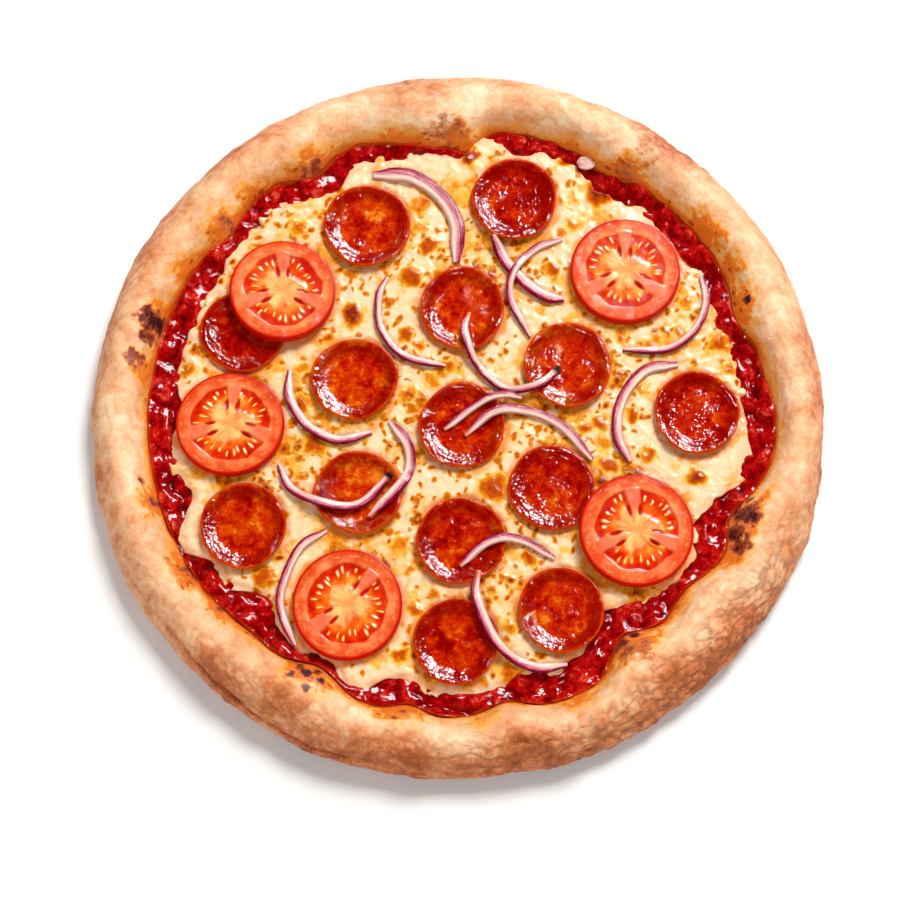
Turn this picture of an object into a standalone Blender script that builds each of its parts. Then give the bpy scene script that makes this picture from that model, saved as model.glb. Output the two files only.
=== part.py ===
# A whole twelve-inch pizza: crust, sauce, melted cheese, pepperoni, tomato slices and
# red onion strips. Metres, +Z up, the origin in the middle of the flat underside and
# the front of the pizza toward -Y. Sizes below are in millimetres and degrees.

import math

import bmesh
import bpy
from mathutils import Matrix, Vector, noise

MM = 0.001
GAP = 0.35            # air between pieces that rest on one another

# Crust
OUTER_RADIUS = 152.3
INNER_RADIUS = 127.0
FLOOR_TOP = 5.0       # top of the thin middle, under the sauce
RIM_TOP = 22.5
CRUST_STEPS = 84
CRAG = 0.9            # depth of the dents and crags in the rim

# Section of the crust: share of the way out (-1 middle, 0 foot of the rim, 1 outside), height
CRUST_SECTION = [
    (-1.0, FLOOR_TOP), (0.0, FLOOR_TOP), (0.05, 9.4), (0.13, 14.2), (0.25, 18.8),
    (0.40, 21.7), (0.55, RIM_TOP), (0.70, 20.9), (0.84, 17.2), (0.95, 12.4), (1.0, 8.4),
    (0.97, 4.2), (0.89, 1.2), (0.79, 0.0), (-1.0, 0.0)]

# Bulges of each outline, counted from +X toward +Y: angle, how far out, half-width
OUTER_BULGES = [(10, -0.5, 10), (70, -0.8, 10), (172, -1.0, 12), (245, 1.2, 12),
                (290, 0.9, 8), (337, 1.1, 9)]
INNER_BULGES = [(20, -5, 5), (60, -4, 5), (92, -13, 4), (101, -3, 6), (120, -6, 5),
                (141, -4, 5), (228, -3, 10), (243, -7, 6), (261, -4, 4), (279, -5, 5),
                (305, -12, 6), (320, -9, 9), (338, -8, 6), (356, 4, 9)]
CHEESE_BULGES = [(18, -3, 6), (70, 4, 8), (90, -6, 5), (120, -5, 6), (173, -2, 6),
                 (198, -4, 5), (206, 8, 5), (226, -8, 6), (246, 5, 9), (259, -5, 5),
                 (284, -5, 6), (305, -14, 8), (316, -5, 6), (335, -7, 8), (352, 2, 6)]

# Bread bubbles along the top of the rim: angle, extra height, half-width
RIM_BUBBLES = [(92, 2.6, 7), (62, 1.4, 9), (118, 1.2, 8), (165, 1.5, 10), (205, 1.0, 9),
               (243, 1.8, 9), (300, 1.6, 12), (325, 2.0, 9), (20, 1.2, 8)]

# Sauce
SAUCE_BOTTOM = FLOOR_TOP + 0.3
SAUCE_TOP = 7.0
SAUCE_SWELL = 1.3     # how far it stands up in the ring that shows
SAUCE_EDGE = 0.8      # share of its section that lies under the cheese
SAUCE_SECTION = [(0.0, SAUCE_TOP), (SAUCE_EDGE, SAUCE_TOP), (0.87, SAUCE_TOP + 0.8),
                 (0.94, SAUCE_TOP + SAUCE_SWELL), (1.0, SAUCE_TOP + 0.4),
                 (1.0, SAUCE_BOTTOM), (0.0, SAUCE_BOTTOM)]

# Cheese
CHEESE_RADIUS = 118.0
CHEESE_BOTTOM = SAUCE_TOP + 0.3
CHEESE_TOP = 10.0
CHEESE_SIDE = 1.5     # how far its melted edge drops
CHEESE_CELLS = 34

# Large blisters in the cheese: x, y, radius, height
BLISTERS = [
    (-67, 82, 5, 1.4), (-15, 92, 5, 1.2), (-12, 73, 5, 1.5), (-19, 61, 6, 2.2),
    (60, 97, 7, 2.2), (49, 84, 4, 1.2), (39, 63, 5, 1.4), (95, 49, 5, 1.3),
    (109, 29, 7, 2.2), (92, 33, 5, 1.2), (-44, 44, 6, 1.6), (-19, 35, 4, 1.2),
    (-3, 23, 4, 1.1), (72, 2, 4, 1.2), (60, 1, 4, 1.1), (80, -11, 4, 1.1),
    (-59, -13, 5, 1.4), (-66, 5, 4, 1.1), (-25, -51, 4, 1.2), (-18, -78, 5, 1.3),
    (-24, -96, 5, 1.2), (-82, -65, 6, 1.9), (-80, -78, 4, 1.2), (98, -29, 5, 1.5),
    (30, -57, 4, 1.1), (21, -86, 4, 1.2), (64, -16, 4, 1.0), (16, -28, 5, 1.2)]

# Pepperoni: x, y, radius, how far its edge curls up
PEPPERONI = [
    (-38.2, 81.8, 18.6, 2.3), (24.2, 93.9, 18.5, 2.4), (2.2, 44.9, 18.3, 2.2),
    (-90.0, 34.8, 18.0, 0.7), (-42.8, 13.5, 18.1, 2.2), (45.9, 19.8, 18.6, 2.3),
    (1.8, -6.6, 18.4, 2.0), (99.0, -1.3, 17.9, 2.5), (-40.7, -35.4, 18.0, 2.0),
    (38.8, -33.4, 18.4, 1.3), (-87.4, -49.7, 18.0, 2.4), (1.3, -55.9, 18.4, 2.2),
    (41.9, -84.8, 17.7, 2.4), (-0.7, -97.9, 17.7, 2.2)]
PEPPERONI_THICK = 1.5
PEPPERONI_STEPS = 20
PEPPERONI_SECTION = [(0.0, 1.0), (0.72, 1.1), (0.95, 1.0), (1.0, 0.55), (0.74, 0.0),
                     (0.0, 0.0)]

# Tomato slices: x, y, radius along x, radius along y, angles of the three fleshy walls,
# the direction that is propped up by a pepperoni slice, and the tilt
TOMATOES = [
    (-73.6, 51.3, 22.2, 22.5, (90, 200, 340), 225, 4.9),
    (70.6, 61.1, 23.1, 23.2, (90, 210, 325), 0, 0.0),
    (-93.8, -6.4, 22.4, 22.0, (85, 195, 340), 0, 0.0),
    (-44.5, -82.8, 22.2, 22.8, (50, 215), 0, 0.0),
    (72.3, -52.1, 23.4, 23.2, (95, 205, 340), 151, 4.1)]
TOMATO_THICK = 4.8
TOMATO_STEPS = 24
WALL_HALF_WIDTH = 17.0
LOCULE_DEPTH = 1.0
TOMATO_SECTION = [(0.0, 4.6), (0.38, 4.5), (0.62, 4.5), (0.80, TOMATO_THICK),
                  (0.97, TOMATO_THICK), (1.0, 3.6), (1.0, 1.0), (0.97, 0.0), (0.0, 0.0)]

# Onion strips: width, then the route by hand along the middle of each
ONIONS = [
    (6.2, [(-36, 106), (-19.5, 105), (-6.5, 95.5), (-0.5, 84), (0, 76), (-0.5, 66)]),
    (5.0, [(15, 77), (21.5, 65), (30, 55.5), (38, 50.5), (45, 49.5)]),
    (3.2, [(44.5, 76.5), (32.5, 71.5), (23.5, 60.5), (22.5, 49), (30.5, 32.5)]),
    (3.2, [(-29.5, 59.5), (-33, 50.5), (-32, 36.5), (-22.5, 24.5), (-5, 19.5)]),
    (3.4, [(5, 43), (3, 34), (8, 20.5), (19.5, 10), (32.5, 10), (42.5, 18.5)]),
    (3.3, [(103, 60.5), (104.5, 47.5), (98.5, 34.5), (87, 27), (69, 27)]),
    (4.4, [(92, 20.5), (78, 17.5), (68, 4.5), (66, -10.5), (71, -22)]),
    (4.0, [(-70, 18), (-69.5, 5.5), (-62, -6.5), (-49.5, -12.5), (-35.5, -9)]),
    (3.8, [(-73.5, -23), (-68, -33.5), (-54.5, -40.5), (-40, -40.5), (-27, -28)]),
    (4.4, [(-28, -4), (-20, -16), (-21.5, -30), (-36, -46)]),
    (3.8, [(3, -11), (14.5, -1.5), (29, 0), (43, -6.5), (55.5, -21)]),
    (3.2, [(-5.5, -8.5), (8, 2), (18, 6), (26.5, 5)]),
    (3.6, [(1, -66.5), (12, -57), (26, -55.5), (39.5, -63)]),
    (4.2, [(8.5, -69), (7.5, -79.5), (16, -99), (30.5, -108), (44, -107)]),
    (3.6, [(-53.5, -51), (-64.5, -59), (-71.5, -76.5), (-70.5, -87.5), (-65.5, -99)])]
ONION_THICK = 2.2
ONION_SPANS = 11
ONION_SIDES = 6

COLOURS = {
    "crust": ((0.80, 0.52, 0.27), 0.75),
    "sauce": ((0.38, 0.01, 0.01), 0.25),
    "cheese": ((0.88, 0.66, 0.30), 0.40),
    "pepperoni": ((0.42, 0.03, 0.01), 0.30),
    "tomato": ((0.75, 0.08, 0.02), 0.20),
    "onion": ((0.55, 0.25, 0.42), 0.35)}


def smoothStep(low, high, value):
    share = min(max((value - low) / (high - low), 0.0), 1.0)
    return share * share * (3.0 - 2.0 * share)


def bulged(start, bulges, angle):
    """A value that changes round the pizza, with a smooth bulge at each listed angle."""
    value = start
    for centre, rise, width in bulges:
        away = (angle - centre + 180.0) % 360.0 - 180.0
        value += rise * math.exp(-(away / width) ** 2)
    return value


def degreesAt(x, y):
    return math.degrees(math.atan2(y, x)) % 360.0


def innerRadius(angle):
    return bulged(INNER_RADIUS, INNER_BULGES, angle)


def cheeseRadius(angle):
    return min(bulged(CHEESE_RADIUS, CHEESE_BULGES, angle), innerRadius(angle) - 2.0)


def openCheese(x, y):
    """0 under a slice of topping and 1 where the cheese is free to rise."""
    share = 1.0
    for slice_x, slice_y, radius, _ in PEPPERONI:
        share *= smoothStep(radius - 2.0, radius + 4.0, math.hypot(x - slice_x, y - slice_y))
    for slice_x, slice_y, radius, _, _, _, _ in TOMATOES:
        share *= smoothStep(radius + 1.0, radius + 6.0, math.hypot(x - slice_x, y - slice_y))
    return share


def cheeseHeight(x, y):
    """Top of the cheese: gentle waves, blisters, and a melted edge that slopes down."""
    waves = 0.5 * noise.noise(Vector((x, y, 3.0)) / 22.0)
    bumps = 0.0
    for bump_x, bump_y, radius, height in BLISTERS:
        away = math.hypot(x - bump_x, y - bump_y) / radius
        bumps = max(bumps, height * (1.0 - smoothStep(0.0, 1.5, away)))
    inside = cheeseRadius(degreesAt(x, y)) - math.hypot(x, y)
    drop = CHEESE_SIDE * (1.0 - smoothStep(0.0, 9.0, inside))
    return CHEESE_TOP + (waves + bumps) * openCheese(x, y) - drop


def pepperoniTop(x, y):
    """Highest pepperoni surface over a point, or nothing."""
    top = 0.0
    for slice_x, slice_y, radius, curl in PEPPERONI:
        away = math.hypot(x - slice_x, y - slice_y)
        if away < radius + 0.8:
            lift = curl * smoothStep(0.55 * radius, 0.95 * radius, away)
            top = max(top, CHEESE_TOP + GAP + PEPPERONI_THICK + 0.4 + lift)
    return top


def meshObject(name, mesh, kind, collection):
    obj = bpy.data.objects.new(name, mesh)
    collection.objects.link(obj)
    colour, roughness = COLOURS[kind]
    material = bpy.data.materials.new(name)
    material.use_nodes = True
    shader = material.node_tree.nodes["Principled BSDF"]
    shader.inputs["Base Color"].default_value = (*colour, 1.0)
    shader.inputs["Roughness"].default_value = roughness
    mesh.materials.clear()
    mesh.materials.append(material)
    mesh.shade_smooth()
    mesh.set_sharp_from_angle(angle=math.radians(50.0))
    return obj


def turnedMesh(name, section, steps):
    """A closed section turned once round the Z axis by the Screw modifier."""
    profile = bpy.data.meshes.new(name)
    points = [(radius, 0.0, height) for radius, height in section]
    profile.from_pydata(points, [(i, i + 1) for i in range(len(points) - 1)], [])
    obj = bpy.data.objects.new(name, profile)
    bpy.context.scene.collection.objects.link(obj)
    screw = obj.modifiers.new("Turn", "SCREW")
    screw.steps = steps
    screw.render_steps = steps
    screw.use_merge_vertices = True
    screw.merge_threshold = 0.0001
    evaluated = obj.evaluated_get(bpy.context.evaluated_depsgraph_get())
    mesh = bpy.data.meshes.new_from_object(evaluated)
    bpy.data.objects.remove(obj)
    mesh.name = name
    return mesh


def reshape(mesh, place):
    """Send every vertex through a function that gives its place in millimetres."""
    for vertex in mesh.vertices:
        vertex.co = Vector(place(*vertex.co)) * MM
    mesh.update()


def makeCrust(collection):
    def place(x, y, z):
        angle = degreesAt(x, y)
        out = math.hypot(x, y) - 1.0
        inner = innerRadius(angle)
        outer = bulged(OUTER_RADIUS, OUTER_BULGES, angle)
        radius = inner * (1.0 + out) if out < 0.0 else inner + out * (outer - inner)
        rise = bulged(0.0, RIM_BUBBLES, angle) / (RIM_TOP - FLOOR_TOP)
        height = z + max(0.0, z - FLOOR_TOP) * rise
        round_x, round_y = math.cos(math.radians(angle)), math.sin(math.radians(angle))
        where = Vector((radius * round_x, radius * round_y, height))
        crags = smoothStep(9.0, 15.0, height) * CRAG
        dent = crags * (noise.noise(where / 11.0) + 0.5 * noise.noise(where / 5.0))
        lean = 2.0 * out - 1.0
        where += dent * Vector((lean * round_x, lean * round_y, 1.0)).normalized()
        return where

    section = [(out + 1.0, height) for out, height in CRUST_SECTION]
    mesh = turnedMesh("crust", section, CRUST_STEPS)
    reshape(mesh, place)
    return meshObject("crust", mesh, "crust", collection)


def makeSauce(collection):
    def place(x, y, z):
        angle = degreesAt(x, y)
        out = math.hypot(x, y)
        cover = cheeseRadius(angle) + 1.0
        wall = innerRadius(angle) - 0.4
        if out <= SAUCE_EDGE + 0.001:
            radius = cover * out / SAUCE_EDGE
        else:
            radius = cover + (wall - cover) * (out - SAUCE_EDGE) / (1.0 - SAUCE_EDGE)
        swell = max(0.0, z - SAUCE_TOP) * smoothStep(0.0, 8.0, wall - cover)
        lumps = 1.0 + 0.5 * noise.noise(Vector((x, y, 0.0)) * 9.0)
        height = min(z, SAUCE_TOP) + swell * lumps
        turn = math.radians(angle)
        return radius * math.cos(turn), radius * math.sin(turn), height

    mesh = turnedMesh("sauce", SAUCE_SECTION, CRUST_STEPS)
    reshape(mesh, place)
    return meshObject("sauce", mesh, "sauce", collection)


def discFromSquare(across, along):
    """Turn a square of side 2 into a disc of radius 1 whose cells stay alike in size."""
    if abs(across) < 1e-9 and abs(along) < 1e-9:
        return 0.0, 0.0
    if abs(across) > abs(along):
        radius, turn = across, math.pi / 4.0 * along / across
    else:
        radius, turn = along, math.pi / 2.0 - math.pi / 4.0 * across / along
    return radius * math.cos(turn), radius * math.sin(turn)


def makeCheese(collection):
    grid = bmesh.new()
    bmesh.ops.create_grid(grid, x_segments=CHEESE_CELLS, y_segments=CHEESE_CELLS, size=1.0)
    for vertex in grid.verts:
        x, y = discFromSquare(vertex.co.x, vertex.co.y)
        share = math.hypot(x, y)
        radius = CHEESE_RADIUS + (cheeseRadius(degreesAt(x, y)) - CHEESE_RADIUS) * share ** 3
        x, y = x * radius, y * radius
        vertex.co = Vector((x, y, cheeseHeight(x, y))) * MM
    rim = [edge for edge in grid.edges if edge.is_boundary]
    side = bmesh.ops.extrude_edge_only(grid, edges=rim)["geom"]
    for vertex in [item for item in side if isinstance(item, bmesh.types.BMVert)]:
        vertex.co.z = CHEESE_BOTTOM * MM
    lower = [item for item in side if isinstance(item, bmesh.types.BMEdge)]
    bmesh.ops.edgeloop_fill(grid, edges=[edge for edge in lower if edge.is_boundary])
    bmesh.ops.recalc_face_normals(grid, faces=grid.faces)
    mesh = bpy.data.meshes.new("cheese")
    grid.to_mesh(mesh)
    grid.free()
    return meshObject("cheese", mesh, "cheese", collection)


def makePepperoni(number, x, y, radius, curl, collection):
    def place(across, along, z):
        share = math.hypot(across, along)
        turn = math.atan2(along, across)
        wave = 0.22 * math.sin(3.0 * turn + number) + 0.16 * math.sin(5.0 * turn + 2.0 * number)
        lift = curl * (1.0 + wave) * smoothStep(0.55, 1.0, share)
        reach = radius * (1.0 + 0.015 * math.sin(2.0 * turn + 1.7 * number))
        height = CHEESE_TOP + GAP + z * PEPPERONI_THICK + lift
        return x + across * reach, y + along * reach, height

    name = f"pepperoni_{number:02d}"
    mesh = turnedMesh(name, PEPPERONI_SECTION, PEPPERONI_STEPS)
    reshape(mesh, place)
    return meshObject(name, mesh, "pepperoni", collection)


def makeTomato(number, x, y, half_x, half_y, walls, prop_angle, tilt, collection):
    lean = Matrix.Rotation(math.radians(prop_angle), 3, "Z")
    lean = lean @ Matrix.Rotation(math.radians(-tilt), 3, "Y") @ lean.transposed()
    lift = max(half_x, half_y) * math.sin(math.radians(tilt))

    def place(across, along, z):
        share = math.hypot(across, along)
        angle = degreesAt(across, along)
        nearest = min(abs((angle - wall + 180.0) % 360.0 - 180.0) for wall in walls)
        hollow = smoothStep(WALL_HALF_WIDTH * 0.5, WALL_HALF_WIDTH * 1.5, nearest)
        if 0.3 < share < 0.7 and z > TOMATO_THICK / 2.0:
            z -= LOCULE_DEPTH * hollow
        point = lean @ Vector((across * half_x, along * half_y, z))
        return Vector((x, y, CHEESE_TOP + GAP + lift)) + point

    name = f"tomato_{number}"
    mesh = turnedMesh(name, TOMATO_SECTION, TOMATO_STEPS)
    reshape(mesh, place)
    return meshObject(name, mesh, "tomato", collection)


def smoothRoute(points, share):
    """Point on a smooth curve through all the points, for a share from 0 to 1."""
    spans = len(points) - 1
    at = min(share * spans, spans - 1e-6)
    index = int(at)
    t = at - index
    before = Vector(points[max(index - 1, 0)])
    start = Vector(points[index])
    end = Vector(points[index + 1])
    after = Vector(points[min(index + 2, spans)])
    pull = (end - before) * 0.5
    push = (after - start) * 0.5
    return ((2 * t ** 3 - 3 * t ** 2 + 1) * start + (t ** 3 - 2 * t ** 2 + t) * pull
            + (3 * t ** 2 - 2 * t ** 3) * end + (t ** 3 - t ** 2) * push)


def onionTop(x, y, lying):
    """Highest finished onion strip over a point, or nothing."""
    top = 0.0
    for middle, half, height in lying:
        if (middle - Vector((x, y))).length < half + 2.6:
            top = max(top, height + ONION_THICK)
    return top


def onionStations(width, points, lying):
    """Middle line of a strip: place, direction, half width and height of its underside."""
    stations = []
    for index in range(ONION_SPANS + 1):
        share = index / ONION_SPANS
        here = smoothRoute(points, share)
        along = (smoothRoute(points, share + 0.02) - smoothRoute(points, share - 0.02 if
                 share > 0.02 else 0.0)).normalized()
        half = 0.5 * width * (0.3 + 0.7 * smoothStep(0.0, 0.3, min(share, 1.0 - share)))
        stations.append((here, along, half))
    heights = []
    for here, along, half in stations:
        side = Vector((-along.y, along.x))
        tops = []
        for step_side in (-1.0, 0.0, 1.0):
            for step_along in (-3.0, 0.0, 3.0):
                spot = here + side * half * step_side + along * step_along
                tops.append(cheeseHeight(spot.x, spot.y))
                tops.append(pepperoniTop(spot.x, spot.y))
                tops.append(onionTop(spot.x, spot.y, lying))
        heights.append(max(tops) + GAP + 0.15)
    eased = []
    for index, height in enumerate(heights):
        near = heights[max(index - 1, 0):index + 2]
        eased.append(max(height, sum(near) / len(near)))
    return [(*station, height) for station, height in zip(stations, eased)]


def makeOnion(number, width, points, lying, collection):
    stations = onionStations(width, points, lying)
    strip = bmesh.new()
    bmesh.ops.create_cone(strip, cap_ends=True, segments=ONION_SIDES, radius1=1.0,
                          radius2=1.0, depth=1.0)
    for cut in range(1, ONION_SPANS):
        height = cut / ONION_SPANS - 0.5
        bmesh.ops.bisect_plane(strip, geom=strip.verts[:] + strip.edges[:] + strip.faces[:],
                               plane_co=(0.0, 0.0, height), plane_no=(0.0, 0.0, 1.0))
    flat = math.sin(math.radians(60.0))   # a six-sided section with its flats up and down
    for vertex in strip.verts:
        index = round((vertex.co.z + 0.5) * ONION_SPANS)
        here, along, half, bottom = stations[index]
        side = Vector((along.y, -along.x))
        place = here + side * half * vertex.co.y
        height = bottom + ONION_THICK * (0.5 + 0.5 * vertex.co.x / flat)
        vertex.co = Vector((place.x, place.y, height)) * MM
    name = f"onion_{number:02d}"
    mesh = bpy.data.meshes.new(name)
    strip.to_mesh(mesh)
    strip.free()
    lying.extend((here, half, bottom) for here, along, half, bottom in stations)
    return meshObject(name, mesh, "onion", collection)


def main():
    for obj in list(bpy.data.objects):
        bpy.data.objects.remove(obj)
    collection = bpy.data.collections.new("pepperoni_pizza")
    bpy.context.scene.collection.children.link(collection)
    makeCrust(collection)
    makeSauce(collection)
    makeCheese(collection)
    for number, values in enumerate(PEPPERONI, start=1):
        makePepperoni(number, *values, collection)
    for number, values in enumerate(TOMATOES, start=1):
        makeTomato(number, *values, collection)
    lying = []
    for number, (width, points) in enumerate(ONIONS, start=1):
        makeOnion(number, width, points, lying, collection)


main()
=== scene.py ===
import math

import bmesh
import bpy
import numpy as np
from mathutils import Matrix, Vector
from mathutils.noise import voronoi


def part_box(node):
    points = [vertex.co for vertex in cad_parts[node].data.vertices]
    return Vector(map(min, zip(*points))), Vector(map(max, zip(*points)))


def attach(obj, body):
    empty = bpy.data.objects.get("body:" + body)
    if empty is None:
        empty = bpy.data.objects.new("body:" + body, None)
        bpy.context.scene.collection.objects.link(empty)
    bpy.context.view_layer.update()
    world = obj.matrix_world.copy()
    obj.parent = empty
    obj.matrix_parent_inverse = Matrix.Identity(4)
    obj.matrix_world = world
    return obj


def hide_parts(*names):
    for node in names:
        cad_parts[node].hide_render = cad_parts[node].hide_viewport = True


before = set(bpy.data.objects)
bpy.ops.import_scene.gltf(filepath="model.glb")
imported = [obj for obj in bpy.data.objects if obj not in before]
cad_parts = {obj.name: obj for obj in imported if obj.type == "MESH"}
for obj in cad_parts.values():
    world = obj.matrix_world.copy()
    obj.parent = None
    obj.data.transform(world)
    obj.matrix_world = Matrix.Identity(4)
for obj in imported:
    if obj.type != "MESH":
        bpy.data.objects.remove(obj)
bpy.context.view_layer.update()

mm = 0.001   # every length below is in millimetres until a mesh is placed
lattice = np.random.default_rng(11).uniform(-1.0, 1.0, (64, 64, 64))


def softNoise(spots, size, shift=0.0):   # smooth random bumps, about one every size
    grid = spots / size + shift
    cell = np.floor(grid).astype(int)
    part = grid - cell
    part = part * part * (3.0 - 2.0 * part)
    total = np.zeros(len(grid))
    for corner in np.ndindex(2, 2, 2):
        index = (cell + corner) % 64
        weight = np.where(corner, part, 1.0 - part).prod(axis=1)
        total += weight * lattice[index[:, 0], index[:, 1], index[:, 2]]
    return total


def roughNoise(spots, size, layers=3, shift=0.0):   # bumps with finer bumps on them
    total = np.zeros(len(spots))
    for layer in range(layers):
        total += softNoise(spots, size / 2 ** layer, shift + 7.3 * layer) / 2 ** layer
    return total / 1.6


def ridgeNoise(spots, size, shift=0.0):   # 1 along thin crests, 0 in the hollows between
    return 1.0 - np.minimum(np.abs(softNoise(spots, size, shift)) * 2.5, 1.0)


def easeBetween(low, high, value):
    share = np.clip((value - low) / (high - low), 0.0, 1.0)
    return share * share * (3.0 - 2.0 * share)


def turnFrom(centre, angle):   # degrees from one direction to another, -180 to 180
    return (angle - centre + 180.0) % 360.0 - 180.0


def bulged(start, bulges, angle):   # a value round the pizza with bulges (angle, rise, half-width)
    value = np.full_like(angle, start)
    for centre, rise, width in bulges:
        value += rise * np.exp(-(turnFrom(centre, angle) / width) ** 2)
    return value


def angleOf(x, y):
    return np.degrees(np.arctan2(y, x)) % 360.0


def flatSpots(x, y):   # points at height 0
    return np.column_stack([x, y, np.zeros_like(x)])


def spotted(x, y, marks, wobble=0.0):   # strongest of the marks (x, y, radius, strength) at a point
    total = np.zeros_like(x)
    for markX, markY, radius, strength in marks:
        away = np.hypot(x - markX, y - markY) / radius + wobble
        total = np.maximum(total, strength * (1.0 - easeBetween(0.35, 1.25, away)))
    return total


# Mesh helpers
def meshFrom(form, name):
    mesh = bpy.data.meshes.new(name)
    form.to_mesh(mesh)
    form.free()
    return mesh


def spunMesh(name, section, steps):   # a section in X and Z turned once round Z
    form = bmesh.new()
    line = [form.verts.new((reach, 0.0, height)) for reach, height in section]
    for start, end in zip(line, line[1:]):
        form.edges.new((start, end))
    turned = math.tau / 16   # one sixteenth is spun, then doubled four times
    bmesh.ops.spin(form, geom=form.verts[:] + form.edges[:], cent=(0, 0, 0), axis=(0, 0, 1),
                   dvec=(0, 0, 0), angle=turned, steps=steps // 16, use_merge=False)
    for _ in range(4):
        copied = bmesh.ops.duplicate(form, geom=form.verts[:] + form.edges[:] + form.faces[:])
        copiedVerts = [item for item in copied["geom"] if isinstance(item, bmesh.types.BMVert)]
        bmesh.ops.rotate(form, verts=copiedVerts, cent=(0, 0, 0),
                         matrix=Matrix.Rotation(turned, 3, "Z"))
        turned *= 2
    bmesh.ops.remove_doubles(form, verts=form.verts[:], dist=1e-5)
    bmesh.ops.recalc_face_normals(form, faces=form.faces[:])
    return meshFrom(form, name)


def readSpots(mesh):
    spots = np.empty(len(mesh.vertices) * 3)
    mesh.vertices.foreach_get("co", spots)
    return spots.reshape(-1, 3)


def placeSpots(mesh, spots):
    mesh.vertices.foreach_set("co", (spots * mm).ravel())
    mesh.update()


def paint(mesh, **masks):   # named values on the points, read by the materials
    for name, values in masks.items():
        layer = mesh.attributes.new(name, "FLOAT", "POINT")
        layer.data.foreach_set("value", np.asarray(values, dtype=np.float32))


def smoothLine(points, count):   # even points on a smooth curve through the given ones
    points = np.array(points, dtype=float)
    padded = np.vstack([2 * points[0] - points[1], points, 2 * points[-1] - points[-2]])
    dense = []
    for index in range(len(points) - 1):
        before, start, end, after = padded[index:index + 4]
        t = np.linspace(0.0, 1.0, 40, endpoint=False)[:, None]
        dense.append(0.5 * (2 * start + (end - before) * t
                            + (2 * before - 5 * start + 4 * end - after) * t ** 2
                            + (3 * start - before - 3 * end + after) * t ** 3))
    dense = np.vstack(dense + [points[-1:]])
    run = np.concatenate([[0.0], np.cumsum(np.linalg.norm(np.diff(dense, axis=0), axis=1))])
    wanted = np.linspace(0.0, run[-1], count)
    return np.column_stack([np.interp(wanted, run, dense[:, axis])
                            for axis in range(dense.shape[1])])


def dressPiece(name, mesh, material, slotName, *nodes):
    piece = bpy.data.objects.new(name, mesh)
    bpy.context.scene.collection.objects.link(piece)
    mesh.materials.append(material)
    mesh.shade_smooth()
    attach(piece, "root")
    if nodes:
        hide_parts(*nodes)
    return piece


# Material helpers
def startMaterial(name, **constants):
    material = bpy.data.materials.new(name)
    material.use_nodes = True
    inputs = material.node_tree.nodes["Principled BSDF"].inputs
    for socket, value in constants.items():
        inputs[socket.replace("_", " ")].default_value = value
    return material, material.node_tree


def finishMaterial(material, **values):   # links the values to the shader's sockets
    tree = material.node_tree
    for socket, value in values.items():
        tree.links.new(value, tree.nodes["Principled BSDF"].inputs[socket.replace("_", " ")])
    return material


def add(tree, kind, links, **settings):   # a node with its settings, sockets and incoming links
    node = tree.nodes.new(kind)
    for key, value in settings.items():
        setattr(node, key, value)
    for socket, value in links.items():
        if isinstance(value, bpy.types.NodeSocket):
            tree.links.new(value, node.inputs[socket])
        else:
            node.inputs[socket].default_value = value
    return node


def objectPlace(tree):
    return add(tree, "ShaderNodeTexCoord", {}).outputs["Object"]


def warped(tree, place, size, amount):   # coordinates pushed about, sizes in mm
    push = add(tree, "ShaderNodeTexNoise", {"Vector": place, "Scale": 1.0 / (size * mm)})
    return add(tree, "ShaderNodeVectorMath", {0: push.outputs["Color"], 1: (amount * mm,) * 3,
               2: place}, operation="MULTIPLY_ADD").outputs[0]


def grain(tree, place, size, detail=3.0, roughness=0.55, distortion=0.0):   # size in mm
    node = add(tree, "ShaderNodeTexNoise", {"Vector": place, "Scale": 1.0 / (size * mm),
               "Detail": detail, "Roughness": roughness, "Distortion": distortion})
    return node.outputs["Fac"]


def mask(tree, name):
    return add(tree, "ShaderNodeAttribute", {}, attribute_name=name).outputs["Fac"]


def spread(tree, value, low, high, start=0.0, end=1.0):   # eased from start to end
    node = add(tree, "ShaderNodeMapRange", {"Value": value, "From Min": low, "From Max": high,
               "To Min": start, "To Max": end}, interpolation_type="SMOOTHSTEP")
    return node.outputs[0]


def math2(tree, operation, first, second):
    return add(tree, "ShaderNodeMath", {0: first, 1: second}, operation=operation).outputs[0]


def weigh(tree, *pairs, start=0.0):   # a weighted sum of values
    total = start
    for value, weight in pairs:
        total = add(tree, "ShaderNodeMath", {0: value, 1: weight, 2: total},
                    operation="MULTIPLY_ADD").outputs[0]
    return total


def blendColor(tree, share, under, over):
    return add(tree, "ShaderNodeMix", {0: share, 6: under, 7: over}, data_type="RGBA").outputs[2]


def layered(tree, color, *layers):   # layers (value, low, high, share, red, green, blue) laid on
    for value, low, high, share, *over in layers:
        color = blendColor(tree, spread(tree, value, low, high, 0.0, share), color, shade(*over))
    return color


def masked(tree, color, **layers):   # a colour (red, green, blue) laid on where its mask is 1
    for name, over in layers.items():
        color = blendColor(tree, mask(tree, name), color, shade(*over))
    return color


def ramp(tree, value, *stops):   # colours (place, red, green, blue) along a value
    node = add(tree, "ShaderNodeValToRGB", {"Fac": value})
    marks = node.color_ramp.elements
    marks[0].position, marks[1].position = stops[0][0], stops[-1][0]
    for stop in stops[1:-1]:
        marks.new(stop[0])
    for mark, stop in zip(marks, stops):
        mark.color = shade(*stop[1:])
    return node.outputs["Color"]


def bumps(tree, height, depth, strength=1.0, normal=None):   # depth in mm
    links = {"Height": height, "Strength": strength, "Distance": depth * mm}
    if normal is not None:
        links["Normal"] = normal
    return add(tree, "ShaderNodeBump", links).outputs[0]


def shade(red, green, blue):   # a colour from 0 to 255 as it looks on a screen
    values = [channel / 255.0 for channel in (red, green, blue)]
    values = [v / 12.92 if v < 0.04045 else ((v + 0.055) / 1.055) ** 2.4 for v in values]
    return (*values, 1.0)


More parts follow.
